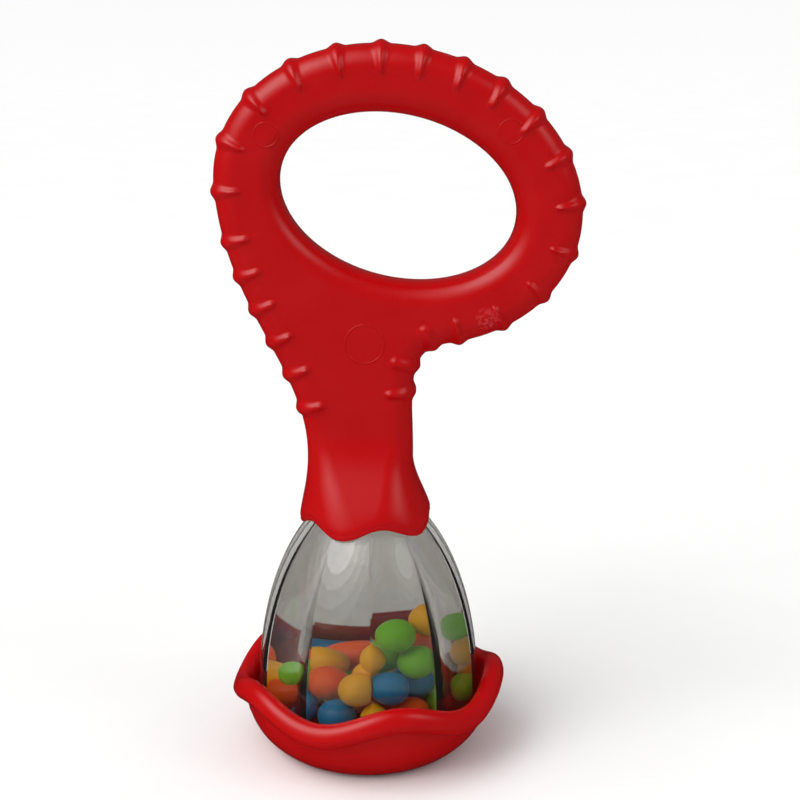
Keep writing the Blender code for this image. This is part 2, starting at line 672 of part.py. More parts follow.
def bead_places():
    """Centre and colour of every bead, dropped one after another on those already there."""
    wanted = []
    for share, first, step, colours in BEAD_RINGS:
        for index, colour in enumerate(colours):
            wanted.append((first + step * index, share, colour))
    wanted.extend(DROPPED_BEADS)
    widest = float(wall_limit(FLOOR_LEVEL + FIT_GAP + BEAD_DIAMETER / 2.0))
    places, colours = [], []
    for azimuth, share, colour in wanted:
        places.append(settled(math.radians(azimuth), share * widest, places))
        colours.append(colour)
    return places, colours


def bead_mesh(name, paint):
    """A small faceted ball about its own centre."""
    radius = BEAD_DIAMETER / 2.0
    points = []
    for row in range(1, BEAD_ROWS):
        turn = math.pi * row / BEAD_ROWS
        for column in range(BEAD_COLUMNS):
            azimuth = 2.0 * math.pi * column / BEAD_COLUMNS
            out = radius * math.sin(turn)
            points.append((out * math.cos(azimuth), out * math.sin(azimuth), radius * math.cos(turn)))
    faces = grid_faces(BEAD_ROWS - 1, BEAD_COLUMNS, True)
    for ring, level in ((0, radius), (BEAD_ROWS - 2, -radius)):
        pole = len(points)
        points.append((0.0, 0.0, level))
        for column in range(BEAD_COLUMNS):
            after = (column + 1) % BEAD_COLUMNS
            faces.append((ring * BEAD_COLUMNS + column, ring * BEAD_COLUMNS + after, pole))
    return mesh_object(name, points, faces, paint)


def build_beads():
    """One object for each bead, placed by its centre."""
    paints = {letter: material("bead_" + name, colour, 0.4) for letter, (name, colour) in BEAD_PAINTS.items()}
    places, colours = bead_places()
    counts = {}
    for place, letter in zip(places, colours):
        name = BEAD_PAINTS[letter][0]
        counts[name] = counts.get(name, 0) + 1
        bead = bead_mesh("bead_%s_%02d" % (name, counts[name]), paints[letter])
        bead.location = [MM * value for value in place]


# ---------------------------------------------------------------- the rattle

clear_scene()
build_handle(material("handle_red", RED, 0.38))
build_chamber(material("chamber_clear", CLEAR, 0.05, 1.0))
build_floor(material("floor_red", RED, 0.4))
build_cup(material("cup_red", RED, 0.38))
build_beads()
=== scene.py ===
"""Looks of the baby rattle: moulded red shells, a clear chamber with ten flat panels, its beads and its cup.

Every size is in millimetres until a mesh is made.  The chamber's axis is the world Z axis, the cup stands
on Z = 0, the ring lies in the XZ plane and the front faces -Y.  Azimuths run from the front towards +X.
"""
from __future__ import annotations

import logging
import math
from collections.abc import Callable
from dataclasses import dataclass, field
from enum import Enum

import bmesh
import bpy
import numpy as np
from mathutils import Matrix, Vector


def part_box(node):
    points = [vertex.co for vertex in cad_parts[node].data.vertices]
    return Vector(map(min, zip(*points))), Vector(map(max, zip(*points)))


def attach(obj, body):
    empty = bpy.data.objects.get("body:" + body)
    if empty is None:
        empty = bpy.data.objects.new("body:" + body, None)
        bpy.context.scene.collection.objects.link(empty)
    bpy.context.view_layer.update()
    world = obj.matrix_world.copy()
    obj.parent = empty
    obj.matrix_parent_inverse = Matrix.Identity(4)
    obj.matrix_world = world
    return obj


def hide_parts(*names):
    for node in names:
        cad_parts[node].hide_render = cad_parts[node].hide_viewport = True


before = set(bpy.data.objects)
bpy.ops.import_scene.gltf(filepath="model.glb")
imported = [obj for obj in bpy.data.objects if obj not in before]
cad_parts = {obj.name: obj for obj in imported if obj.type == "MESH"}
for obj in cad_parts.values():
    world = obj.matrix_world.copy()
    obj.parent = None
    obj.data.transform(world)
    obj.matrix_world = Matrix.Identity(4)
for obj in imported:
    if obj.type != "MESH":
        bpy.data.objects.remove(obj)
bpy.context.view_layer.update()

LOG = logging.getLogger("rattle")
MM = 0.001
WELD = 1e-7             # metres within which two points are one


# ---------------------------------------------------------------- colours and nodes

def to_linear(code: str) -> tuple[float, float, float, float]:
    """Turn an sRGB hex colour to a linear one.

    Args:
        code: six hex digits.

    Returns:
        Linear red, green, blue and an alpha of 1.
    """
    share = np.array([int(code[at:at + 2], 16) for at in (0, 2, 4)]) / 255.0
    linear = np.where(share <= 0.04045, share / 12.92, ((share + 0.055) / 1.055) ** 2.4)
    return (float(linear[0]), float(linear[1]), float(linear[2]), 1.0)


def add_node(tree: bpy.types.NodeTree, kind: str, settings: dict[str, object] | None = None,
             values: dict[str, object] | None = None,
             links: dict[str, bpy.types.NodeSocket] | None = None) -> bpy.types.Node:
    """Add a node with its settings, its sockets' values and its links.

    Args:
        tree: the material's node tree.
        kind: the node's type name.
        settings: properties of the node itself.
        values: input sockets by name, or by place where a name repeats, and their values.
        links: input sockets by name or place, and the output sockets that feed them.

    Returns:
        The new node.
    """
    node = tree.nodes.new(kind)
    for name, value in (settings or {}).items():
        setattr(node, name, value)
    for name, value in (values or {}).items():
        node.inputs[name].default_value = value
    for name, source in (links or {}).items():
        tree.links.new(source, node.inputs[name])
    return node


def per_metre(pitch: float) -> float:
    """Scale of a pattern on Object coordinates, in metres, whose features are pitch millimetres apart."""
    return 1.0 / (pitch * MM)


class Colour(Enum):
    """Bead colours by the word in their node names."""

    YELLOW = "yellow"
    GREEN = "green"
    BLUE = "blue"
    ORANGE = "orange"


# ---------------------------------------------------------------- finishes

@dataclass(frozen=True)
class MouldedPlastic:
    """Injection-moulded ABS or polystyrene: dyed right through, satin from the tool's fine grain."""

    name: str
    colour: str
    deep_colour: str
    roughness: float = 0.24
    roughness_spread: float = 0.05
    grain_pitch: float = 0.45
    grain_height: float = 0.006
    cloud_pitch: float = 9.0
    ior: float = 1.5
    specular: float = 0.5
    cloud_detail: tuple[float, float] = (4.0, 0.6)
    grain_detail: tuple[float, float] = (2.0, 0.5)

    def build(self) -> bpy.types.Material:
        """Make the material: dye clouds, a grain in the bump and the roughness that varies with the clouds.

        Returns:
            The finished material.
        """
        made = bpy.data.materials.new(self.name)
        made.use_nodes = True
        tree = made.node_tree
        shader = tree.nodes["Principled BSDF"]
        shader.inputs["IOR"].default_value = self.ior
        shader.inputs["Specular IOR Level"].default_value = self.specular
        place = add_node(tree, "ShaderNodeTexCoord").outputs["Object"]
        clouds = add_node(tree, "ShaderNodeTexNoise",
                          values={"Scale": per_metre(self.cloud_pitch), "Detail": self.cloud_detail[0],
                                  "Roughness": self.cloud_detail[1]},
                          links={"Vector": place})
        colour = add_node(tree, "ShaderNodeMix", {"data_type": "RGBA"},
                          {6: to_linear(self.deep_colour), 7: to_linear(self.colour)},
                          {0: clouds.outputs["Fac"]})
        tree.links.new(colour.outputs[2], shader.inputs["Base Color"])
        grain = add_node(tree, "ShaderNodeTexNoise",
                         values={"Scale": per_metre(self.grain_pitch), "Detail": self.grain_detail[0],
                                 "Roughness": self.grain_detail[1]},
                         links={"Vector": place})
        rough = add_node(tree, "ShaderNodeMapRange",
                         values={"To Min": self.roughness - self.roughness_spread,
                                 "To Max": self.roughness + self.roughness_spread},
                         links={"Value": clouds.outputs["Fac"]})
        tree.links.new(rough.outputs["Result"], shader.inputs["Roughness"])
        bump = add_node(tree, "ShaderNodeBump",
                        values={"Strength": 1.0, "Distance": self.grain_height * MM},
                        links={"Height": grain.outputs["Fac"]})
        tree.links.new(bump.outputs["Normal"], shader.inputs["Normal"])
        return made


@dataclass(frozen=True)
class PaintedHighlightPlastic(MouldedPlastic):
    """The handle's plastic, with one painted highlight: a pale pink patch on the ring's face below and right
    of the hole, where the light catches it.
    """

    # Painted highlight: a pale patch at a fixed point on the front face, its edge broken up by noise.
    highlight_place: tuple[float, float, float] = (25.9, -6.0, 99.6)
    highlight_radius: float = 2.9
    highlight_break_pitch: float = 0.8
    highlight_break_detail: tuple[float, float] = (5.0, 0.7)
    highlight_heart: float = 0.4
    highlight_break_cut: tuple[float, float] = (0.47, 0.62)
    highlight_colour: str = "C8404C"

    def build(self) -> bpy.types.Material:
        """Make the moulded plastic, then paint a pale highlight patch into its colour.

        Returns:
            The finished material.
        """
        made = super().build()
        tree = made.node_tree
        shader = tree.nodes["Principled BSDF"]
        place = add_node(tree, "ShaderNodeTexCoord").outputs["Object"]
        # Painted highlight: the colour turns pale near the point, where the noise is high.
        centre = tuple(MM * value for value in self.highlight_place)
        away = add_node(tree, "ShaderNodeVectorMath", {"operation": "DISTANCE"}, {1: centre}, {0: place})
        highlight_breakup = add_node(tree, "ShaderNodeTexNoise",
                        values={"Scale": per_metre(self.highlight_break_pitch), "Detail": self.highlight_break_detail[0],
                                "Roughness": self.highlight_break_detail[1]},
                        links={"Vector": place})
        inside = add_node(tree, "ShaderNodeMapRange",
                          values={"From Min": self.highlight_radius * MM,
                                  "From Max": self.highlight_heart * self.highlight_radius * MM},
                          links={"Value": away.outputs["Value"]})
        spots = add_node(tree, "ShaderNodeMapRange",
                         values={"From Min": self.highlight_break_cut[0], "From Max": self.highlight_break_cut[1]},
                         links={"Value": highlight_breakup.outputs["Fac"]})
        amount = add_node(tree, "ShaderNodeMath", {"operation": "MULTIPLY"},
                          links={0: inside.outputs["Result"], 1: spots.outputs["Result"]})
        plain = shader.inputs["Base Color"].links[0].from_socket
        pale = add_node(tree, "ShaderNodeMix", {"data_type": "RGBA"}, {7: to_linear(self.highlight_colour)},
                        {0: amount.outputs["Value"], 6: plain})
        tree.links.new(pale.outputs[2], shader.inputs["Base Color"])
        return made


@dataclass(frozen=True)
class ClearStyrene:
    """Injection-moulded clear polystyrene, polished in the tool: a faint haze and flow, and a grey cast that
    is painted shade, the dimness of surroundings seen through it.
    """

    name: str
    # Grey cast: painted shade that darkens whatever is seen through the walls.
    colour: str = "C5C3BF"
    roughness: float = 0.025
    haze: float = 0.006
    scratch_pitch: float = 3.0
    scratch_detail: tuple[float, float] = (6.0, 0.7)
    scratch_cut: tuple[float, float] = (0.35, 0.75)
    scratch_spread: float = 0.04
    ior: float = 1.55
    flow_pitch: float = 14.0
    flow_height: float = 0.05
    lamp_colour: str = "F4F2EE"

    def build(self) -> bpy.types.Material:
        """Make the material; lamps shine straight through it, so that what it holds is lit.

        Returns:
            The finished material.
        """
        made = bpy.data.materials.new(self.name)
        made.use_nodes = True
        tree = made.node_tree
        shader = tree.nodes["Principled BSDF"]
        # The grey cast, painted shade, tints everything seen through the walls.
        shader.inputs["Base Color"].default_value = to_linear(self.colour)
        shader.inputs["IOR"].default_value = self.ior
        shader.inputs["Transmission Weight"].default_value = 1.0 - self.haze
        place = add_node(tree, "ShaderNodeTexCoord").outputs["Object"]
        scratches = add_node(tree, "ShaderNodeTexNoise",
                             values={"Scale": per_metre(self.scratch_pitch), "Detail": self.scratch_detail[0],
                                     "Roughness": self.scratch_detail[1]},
                             links={"Vector": place})
        rough = add_node(tree, "ShaderNodeMapRange",
                         values={"From Min": self.scratch_cut[0], "From Max": self.scratch_cut[1],
                                 "To Min": self.roughness, "To Max": self.roughness + self.scratch_spread},
                         links={"Value": scratches.outputs["Fac"]})
        tree.links.new(rough.outputs["Result"], shader.inputs["Roughness"])
        flow = add_node(tree, "ShaderNodeTexNoise",
                        values={"Scale": per_metre(self.flow_pitch), "Detail": 1.0},
                        links={"Vector": place})
        bump = add_node(tree, "ShaderNodeBump",
                        values={"Strength": 1.0, "Distance": self.flow_height * MM},
                        links={"Height": flow.outputs["Fac"]})
        tree.links.new(bump.outputs["Normal"], shader.inputs["Normal"])
        through = add_node(tree, "ShaderNodeBsdfTransparent", values={"Color": to_linear(self.lamp_colour)})
        path = add_node(tree, "ShaderNodeLightPath")
        mixed = add_node(tree, "ShaderNodeMixShader",
                         links={0: path.outputs["Is Shadow Ray"], 1: shader.outputs["BSDF"],
                                2: through.outputs["BSDF"]})
        tree.links.new(mixed.outputs["Shader"], tree.nodes["Material Output"].inputs["Surface"])
        return made


# ---------------------------------------------------------------- meshes from grids

class Skin:
    """The points and faces of one piece, gathered from grids of points in millimetres."""

    def __init__(self) -> None:
        """Start with nothing."""
        self.points: list[np.ndarray] = []
        self.faces: list[np.ndarray] = []
        self.fills: list[np.ndarray] = []
        self.count = 0

    def add(self, grid: np.ndarray) -> np.ndarray:
        """Store points.

        Args:
            grid: any shape that ends in x, y, z.

        Returns:
            The points' numbers, in the grid's shape.
        """
        numbers = np.arange(grid[..., 0].size).reshape(grid.shape[:-1]) + self.count
        self.points.append(grid.reshape(-1, 3))
        self.count += numbers.size
        return numbers

    def quads(self, numbers: np.ndarray, wrap: bool = False) -> None:
        """Face a grid with quads.

        Args:
            numbers: the grid's point numbers in rows and columns.
            wrap: join its last row to its first.
        """
        after = np.roll(numbers, -1, axis=0) if wrap else numbers[1:]
        here = numbers if wrap else numbers[:-1]
        self.faces.append(np.stack([here[:, :-1], after[:, :-1], after[:, 1:], here[:, 1:]],
                                   axis=-1).reshape(-1, 4))

    def bridge(self, first: np.ndarray, second: np.ndarray) -> None:
        """Face the strip between two rows of the same length."""
        self.quads(np.stack([first, second], axis=1))

    def fan(self, loop: np.ndarray, centre: np.ndarray) -> None:
        """Close a loop with triangles to one point.

        Args:
            loop: the point numbers in order.
            centre: the point in the middle.
        """
        pole = self.add(np.asarray(centre, dtype=float).reshape(1, 3))[0]
        after = np.roll(loop, -1)
        self.faces.append(np.stack([loop, after, np.full(loop.size, pole)], axis=-1))

    def fill(self, *chains: tuple[np.ndarray, bool]) -> None:
        """Fill the flat region that chains of points bound.

        Args:
            chains: point numbers in order, each with whether the chain closes on itself.
        """
        pairs = []
        for chain, closed in chains:
            after = np.roll(chain, -1)
            both = np.stack([chain, after], axis=-1)
            pairs.append(both if closed else both[:-1])
        self.fills.append(np.concatenate(pairs))

    def finish(self, name: str, finish: bpy.types.Material, sharp: float = 40.0) -> bpy.types.Object:
        """Make the object.

        Args:
            name: the piece's name.
            finish: its material.
            sharp: edges that turn more than this many degrees stay sharp.

        Returns:
            The object, at the origin, with its place in its mesh.
        """
        mesh = bpy.data.meshes.new(name)
        points = np.concatenate(self.points) * MM
        faces = [tuple(face) for block in self.faces for face in block.tolist()]
        mesh.from_pydata(points.tolist(), [], faces)
        work = bmesh.new()
        work.from_mesh(mesh)
        work.verts.ensure_lookup_table()
        for pairs in self.fills:
            edges = []
            for first, second in pairs.tolist():
                ends = (work.verts[first], work.verts[second])
                edges.append(work.edges.get(ends) or work.edges.new(ends))
            bmesh.ops.triangle_fill(work, edges=edges, use_beauty=True)
        bmesh.ops.remove_doubles(work, verts=work.verts, dist=WELD)
        bmesh.ops.recalc_face_normals(work, faces=work.faces)
        work.to_mesh(mesh)
        work.free()
        mesh.materials.append(finish)
        mesh.shade_smooth()
        mesh.set_sharp_from_angle(angle=math.radians(sharp))
        piece = bpy.data.objects.new(name, mesh)
        bpy.context.scene.collection.objects.link(piece)
        return piece


def settle(piece: bpy.types.Object, body: str, node: str) -> None:
    """Ride a piece on its body in place of its CAD node, and report it.

    Args:
        piece: the finished piece.
        body: the body that carries it.
        node: the CAD node that it stands for.
    """
    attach(piece, body)
    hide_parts(node)
    LOG.info("%s: %d faces on body %s", piece.name, len(piece.data.polygons), body)


def smooth_step(value: np.ndarray, low: float, high: float) -> np.ndarray:
    """0 below low, 1 above high, and a smooth rise between them."""
    share = np.clip((value - low) / (high - low), 0.0, 1.0)
    return share * share * (3.0 - 2.0 * share)


def around(radius: np.ndarray, height: np.ndarray, azimuth: np.ndarray) -> np.ndarray:
    """Points radius * sin(azimuth), -radius * cos(azimuth), height; azimuth in radians from the front."""
    radius, height, azimuth = np.broadcast_arrays(radius, height, azimuth)
    return np.stack([radius * np.sin(azimuth), -radius * np.cos(azimuth), height], axis=-1)


# ---------------------------------------------------------------- shapes that pieces share

@dataclass
class Petals:
    """The five petals that the collar's edge and the cup's rim share."""

    count: int = 5
    crest: float = 13.9

    def wave(self, azimuth: np.ndarray) -> np.ndarray:
        """1 on a scallop's crest and -1 at a petal's tip."""
        return np.cos(self.count * (azimuth - math.radians(self.crest)))


@dataclass
class Dome:
    """The chamber's form: a quarter ellipse above the belly, round outside and flat-panelled inside."""

    sides: int = 10
    edge_azimuth: float = 3.0
    radius: float = 24.85
    belly: float = 14.0
    rise: float = 46.45
    corner_share: float = 0.9965
    wall: float = 3.0
    foot: float = 8.8
    collar_drop: float = 6.95

    def radii(self, height: np.ndarray) -> np.ndarray:
        """radius * sqrt(1 - share^2), where share is the height above the belly over the rise."""
        share = np.clip((height - self.belly) / self.rise, 0.0, 1.0)
        return self.radius * np.sqrt(1.0 - share * share)

    def inside(self, height: np.ndarray, azimuth: np.ndarray) -> np.ndarray:
        """Inner radius: apothem / cos(angle from the panel's middle), its corners just cut off round.

        Args:
            height: heights above the table.
            azimuth: azimuths in radians.

        Returns:
            The radius at each height and azimuth.
        """
        pitch = 2.0 * math.pi / self.sides
        off = (azimuth - math.radians(self.edge_azimuth)) % pitch - pitch / 2.0
        apothem = self.radii(height) - self.wall
        sharp = 1.0 / math.cos(pitch / 2.0)
        return apothem * np.minimum(1.0 / np.cos(off), sharp * self.corner_share)

    def collar_edge(self) -> float:
        """Mean height of the collar's edge on the dome."""
        return self.belly + self.rise - self.collar_drop


PETALS = Petals()
DOME = Dome()
SEAT_GAP = 0.4          # between the dome and what seats on it
FLOOR_GAP = 0.3         # between the floor and the dome or the cup
FLANGE = 1.2            # thickness of the floor's flange
FLANGE_INSET = 0.5      # the flange stays this far inside the dome


# ---------------------------------------------------------------- handle

@dataclass
class Handle:
    """The hollow handle in two shells: a ribbed plate with an oval hole, a neck and a petalled collar."""

    half_depth: float = 6.0
    edge: float = 5.0
    wall: float = 2.0
    collar_wall: float = 1.0
    parting: float = 0.02
    ring_tilt: float = -14.6
    hole: tuple[float, float] = (25.5, 17.25)
    band: float = 14.0
    ring_span: tuple[float, float] = (196.0, -62.0)
    flank_way: tuple[float, float] = (-2.0, 7.0)
    flank_pull: tuple[float, float] = (16.0, 22.0)
    corner_pull: tuple[float, float] = (7.5, 10.0)
    neck_left: float = 14.4
    neck_right: float = 9.9
    neck_rise: float = 24.5
    waist_rise: float = 15.5
    waist_half: float = 11.6
    waist_offset: float = -1.5
    ring_offset: tuple[float, float] = (6.9, 46.8)
    flare_span: tuple[float, float] = (-2.0, -1.0)
    depth_span: tuple[float, float] = (-3.0, 5.0)
    collar_blend: float = 5.0
    collar_flat: tuple[float, float, float] = (0.7, 0.5, 0.6)
    collar_wave: float = 1.15
    collar_swell: float = 0.5
    wave_fade: float = 9.0
    roll: float = 0.85
    roll_height: float = 2.6
    crease: float = 0.12
    crease_height: float = 1.15
    crease_width: float = 0.22
    rib: float = 0.8
    rib_foot: float = 2.3
    rib_face: float = 1.35
    rib_reach: float = 6.6
    ring_ribs: tuple[float, float, int] = (194.4, -67.0, 17)
    flank_ribs: tuple[float, int] = (7.9, 5)
    corner_ribs: tuple[float, int] = (5.7, 3)
    rib_turn: tuple[float, float] = (0.5, 4.0)
    rib_end: float = 1.6
    marks: tuple[tuple[float, float, float], ...] = ((-89.0, 1.02, 4.2), (164.4, 0.40, 2.5),
                                                     (54.2, 0.49, 2.5))
    mark_half: tuple[float, float] = (0.17, 0.07)
    outline_step: float = 0.36
    outline_reach: float = 0.3
    arc_samples: int = 3000
    curve_samples: int = 1200
    collar_rows: tuple[float, ...] = (0.0, 0.06, 0.2, 0.4, 0.6, 0.8, 0.95, 1.1, 1.3, 1.6, 2.0)
    neck_row_start: float = 2.5
    neck_rows: int = 60
    hole_step: float = 1.5
    inner_thinning: int = 6
    mark_steps: tuple[float, float] = (4.0, 36.0)
    columns: int = 18
    face_columns: int = 8
    face_margin: float = 3.0
    edge_row: float = field(init=False)
    waist: float = field(init=False)
    neck_top: float = field(init=False)
    ring_centre: tuple[float, float] = field(init=False)

    def __post_init__(self) -> None:
        """Place the neck and the ring above the collar's edge."""
        self.edge_row = DOME.collar_edge()
        self.waist = self.edge_row + self.waist_rise
        self.neck_top = self.edge_row + self.neck_rise
        self.ring_centre = (self.ring_offset[0], self.neck_top + self.ring_offset[1])

    def collar_radius(self) -> float:
        """The collar's edge clears the dome at its petals' tips."""
        seat = float(DOME.radii(np.array(self.edge_row - self.collar_wave)))
        return seat + SEAT_GAP + self.collar_wall - self.collar_swell

    def ellipse(self, angle: np.ndarray, grow: np.ndarray | float) -> np.ndarray:
        """Points of the hole's ellipse, each half axis grown alike, turned by the ring's tilt.

        Args:
            angle: degrees in the ellipse's own frame.
            grow: how far outside the hole.

        Returns:
            x and z of each point.
        """
        turn = np.radians(np.asarray(angle, dtype=float))
        along = (self.hole[0] + grow) * np.cos(turn)
        across = (self.hole[1] + grow) * np.sin(turn)
        tilt = math.radians(self.ring_tilt)
        return np.stack([self.ring_centre[0] + along * math.cos(tilt) - across * math.sin(tilt),
                         self.ring_centre[1] + along * math.sin(tilt) + across * math.cos(tilt)], axis=-1)

    def neck_edges(self, height: np.ndarray) -> tuple[np.ndarray, np.ndarray]:
        """Edges of the neck: half width + widening * share^2 above the waist, a smooth flare below it.

        Args:
            height: heights above the table.

        Returns:
            x of the left and of the right edge.
        """
        above = np.clip((height - self.waist) / (self.neck_top - self.waist), 0.0, 1.0) ** 2
        flare = 1.0 - smooth_step(height, self.edge_row + self.flare_span[0], self.waist + self.flare_span[1])
        left = self.waist_half - self.waist_offset
        right = self.waist_half + self.waist_offset
        left = left + (self.neck_left - left) * above
        right = right + (self.neck_right - right) * above
        collar = self.collar_radius()
        return -(left + (collar - left) * flare), right + (collar - right) * flare

    def outline(self) -> tuple[np.ndarray, np.ndarray, np.ndarray]:
        """The plate's outline from the neck's left over the ring to its right.

        Two cubic curves lead from the neck's sides to an ellipse that is the hole's, one band larger.

        Returns:
            Points at equal steps, their inward normals and the rib field's distance at each of them.
        """
        angles = np.linspace(*self.ring_span, self.arc_samples)
        ring = self.ellipse(angles, self.band)
        starts = (ring[0] - ring[1]) / np.hypot(*(ring[0] - ring[1]))
        ends = (ring[-1] - ring[-2]) / np.hypot(*(ring[-1] - ring[-2]))
        left = np.array([-self.neck_left, self.neck_top])
        right = np.array([self.neck_right, self.neck_top])
        way = np.array(self.flank_way) / math.hypot(*self.flank_way)
        flank = self.cubic(left, left + way * self.flank_pull[0],
                           ring[0] + starts * self.flank_pull[1], ring[0])
        corner = self.cubic(ring[-1], ring[-1] + ends * self.corner_pull[0],
                            right + np.array([0.0, self.corner_pull[1]]), right)
        path = np.concatenate([flank, ring[1:], corner[1:]])
        length = np.concatenate([[0.0], np.cumsum(np.hypot(*np.diff(path, axis=0).T))])
        ribs = self.rib_places(path, length, length[len(flank) - 1])
        count = int(length[-1] / self.outline_step)
        along = np.linspace(0.0, length[-1], count)
        points = np.stack([np.interp(along, length, path[:, axis]) for axis in (0, 1)], axis=1)
        ahead, behind = (np.stack([np.interp(along + reach, length, path[:, axis]) for axis in (0, 1)], 1)
                         for reach in (self.outline_reach, -self.outline_reach))
        way = (ahead - behind) / np.hypot(*(ahead - behind).T)[:, None]
        inward = np.stack([way[:, 1], -way[:, 0]], axis=1)
        nearest = np.abs(along[:, None] - ribs[None, :]).min(axis=1)
        return points, inward, nearest

    def cubic(self, start: np.ndarray, pull: np.ndarray, other: np.ndarray, end: np.ndarray) -> np.ndarray:
        """A cubic curve: start * r^3 + 3 pull * r^2 s + 3 other * r s^2 + end * s^3, where r is 1 - s.

        Args:
            start: where it starts.
            pull: the point that it leaves towards.
            other: the point that it arrives from.
            end: where it ends.

        Returns:
            Points along it.
        """
        share = np.linspace(0.0, 1.0, self.curve_samples)[:, None]
        rest = 1.0 - share
        return (rest ** 3 * start + 3 * rest ** 2 * share * pull + 3 * rest * share ** 2 * other
                + share ** 3 * end)

    def rib_places(self, path: np.ndarray, length: np.ndarray, ring_from: float) -> np.ndarray:
        """Place the ribs at equal bearings round the ring, then at equal steps down each side.

        Args:
            path: points of the outline.
            length: arc length at each of them.
            ring_from: arc length where the ring starts.

        Returns:
            The arc length of each rib.
        """
        away = path - np.array(self.ring_centre)
        bearing = np.degrees(np.unwrap(np.arctan2(away[:, 1], away[:, 0])))
        first, last, count = self.ring_ribs
        bearing = bearing + 360.0 * round((first - np.interp(ring_from, length, bearing)) / 360.0)
        order = np.argsort(bearing)
        on_ring = np.interp(np.linspace(first, last, count), bearing[order], length[order])
        left = on_ring[0] - self.flank_ribs[0] * np.arange(self.flank_ribs[1], 0, -1)
        right = on_ring[-1] + self.corner_ribs[0] * np.arange(1, self.corner_ribs[1] + 1)
        return np.concatenate([left, on_ring, right])

    def sections(self, height: np.ndarray) -> tuple[np.ndarray, ...]:
        """The section at each height, from the plate's to the collar's half circle by a smooth flare.

        Args:
            height: heights above the table.

        Returns:
            Half depth, edge radius across and in depth, wall and flat margin.
        """
        flare = 1.0 - smooth_step(height, self.edge_row + self.depth_span[0], self.waist + self.depth_span[1])
        less_across, less_deep, flat = self.collar_flat
        left, right = self.neck_edges(height)
        collar = self.collar_radius()
        depth = self.half_depth + (collar - self.half_depth) * flare
        across = self.edge + ((right - left) / 2.0 - less_across - self.edge) * flare
        deep = self.edge + (collar - less_deep - self.edge) * flare
        thin = 1.0 - smooth_step(height, self.edge_row, self.edge_row + self.collar_blend)
        wall = self.wall + (self.collar_wall - self.wall) * thin
        margin = self.face_margin + (flat - self.face_margin) * flare
        return depth, across, deep, wall, margin

    def rib_lift(self, nearest: np.ndarray, inset: np.ndarray) -> np.ndarray:
        """Height of the ribs: rib * (1 + cos(pi * distance / width)) / 2, narrower on the face.

        The width is drawn in by sqrt(1 - end^6) towards the rib's end, which rounds it.

        Args:
            nearest: distance along the outline to the nearest rib.
            inset: distance in from the outline.

        Returns:
            The height at each point.
        """
        end = np.clip(inset / self.rib_reach, 0.0, 1.0)
        width = self.rib_foot + (self.rib_face - self.rib_foot) * smooth_step(inset, *self.rib_turn)
        width = width * np.sqrt(np.maximum(1.0 - end ** 6, 1e-4))
        bump = 0.5 + 0.5 * np.cos(math.pi * np.clip(nearest / width, 0.0, 1.0))
        return self.rib * bump * (1.0 - smooth_step(inset, self.rib_reach - self.rib_end, self.rib_reach))

    def surface(self, side: float, inner: bool) -> tuple[np.ndarray, int, np.ndarray]:
        """One skin of a shell as a grid: rows run along the outline, columns from the parting plane inwards.

        Across the edge a column is a quarter ellipse: inset = across * (1 - cos), depth = deep * sin.  The
        last columns lie on the flat, where the ribs end.

        Args:
            side: -1 for the front shell and 1 for the back one.
            inner: True for the skin one wall inside.

        Returns:
            The grid, the number of neck rows at each end of it, and the hole's grid.
        """
        near = self.edge_row + np.array(self.collar_rows)
        above = np.linspace(self.edge_row + self.neck_row_start, self.neck_top, self.neck_rows)[:-1]
        heights = np.concatenate([near, above])
        points, inward, nearest = self.outline()
        left, right = self.neck_edges(heights)
        zero, one = np.zeros_like(heights), np.ones_like(heights)
        base = np.concatenate([np.stack([left, heights], 1), points, np.stack([right, heights], 1)[::-1]])
        way = np.concatenate([np.stack([one, zero], 1), inward, np.stack([-one, zero], 1)])
        level = np.concatenate([heights, np.full(len(points), self.neck_top), heights[::-1]])
        nearest = np.concatenate([one * np.inf, nearest, one * np.inf])
        inset, depth, out, deep = self.profile(level, inner)
        lift = 0.0 if inner else self.rib_lift(nearest[:, None], inset)
        step = inset - lift * out
        grid = np.stack([base[:, :1] + way[:, :1] * step, side * (depth + lift * deep),
                         base[:, 1:] + way[:, 1:] * step], axis=-1)
        grid = self.petalled(grid, level, inner)
        grid[:, 0, 1] = side * self.parting
        angles = np.arange(0.0, 360.0, self.hole_step)
        inset, depth, _, _ = self.profile(np.full(len(angles), self.neck_top), inner)
        ring = self.ellipse(angles[:, None], inset)
        hole = np.stack([ring[..., 0], side * depth, ring[..., 1]], axis=-1)
        return grid, len(heights), hole[:, :self.columns + 2]

    def profile(self, level: np.ndarray, inner: bool) -> tuple[np.ndarray, ...]:
        """The edge's quarter ellipse and the flat beyond it, at every row and column.

        Args:
            level: the height whose section each row has.
            inner: True for the skin one wall inside.

        Returns:
            Inset, depth and the normal's shares outwards and in depth.
        """
        depth, across, deep, wall, margin = (value[:, None] for value in self.sections(level))
        offset = wall if inner else np.zeros_like(wall)
        across, deep, depth = across - offset, deep - offset, depth - offset
        turn = np.radians(np.linspace(0.0, 90.0, self.columns + 1))[None, :]
        share = np.linspace(0.0, 1.0, self.face_columns + 1)[None, 1:]
        flat = np.ones_like(share) * np.ones_like(depth)
        inset = np.hstack([offset, offset + across * (1.0 - np.cos(turn)), offset + across + margin * share])
        y = np.hstack([np.full_like(depth, self.parting), depth - deep + deep * np.sin(turn), depth * flat])
        out = np.hstack([np.ones_like(depth), np.cos(turn) * np.ones_like(depth), 0.0 * flat])
        rise = np.hstack([np.zeros_like(depth), np.sin(turn) * np.ones_like(depth), flat])
        return inset, y, out, rise

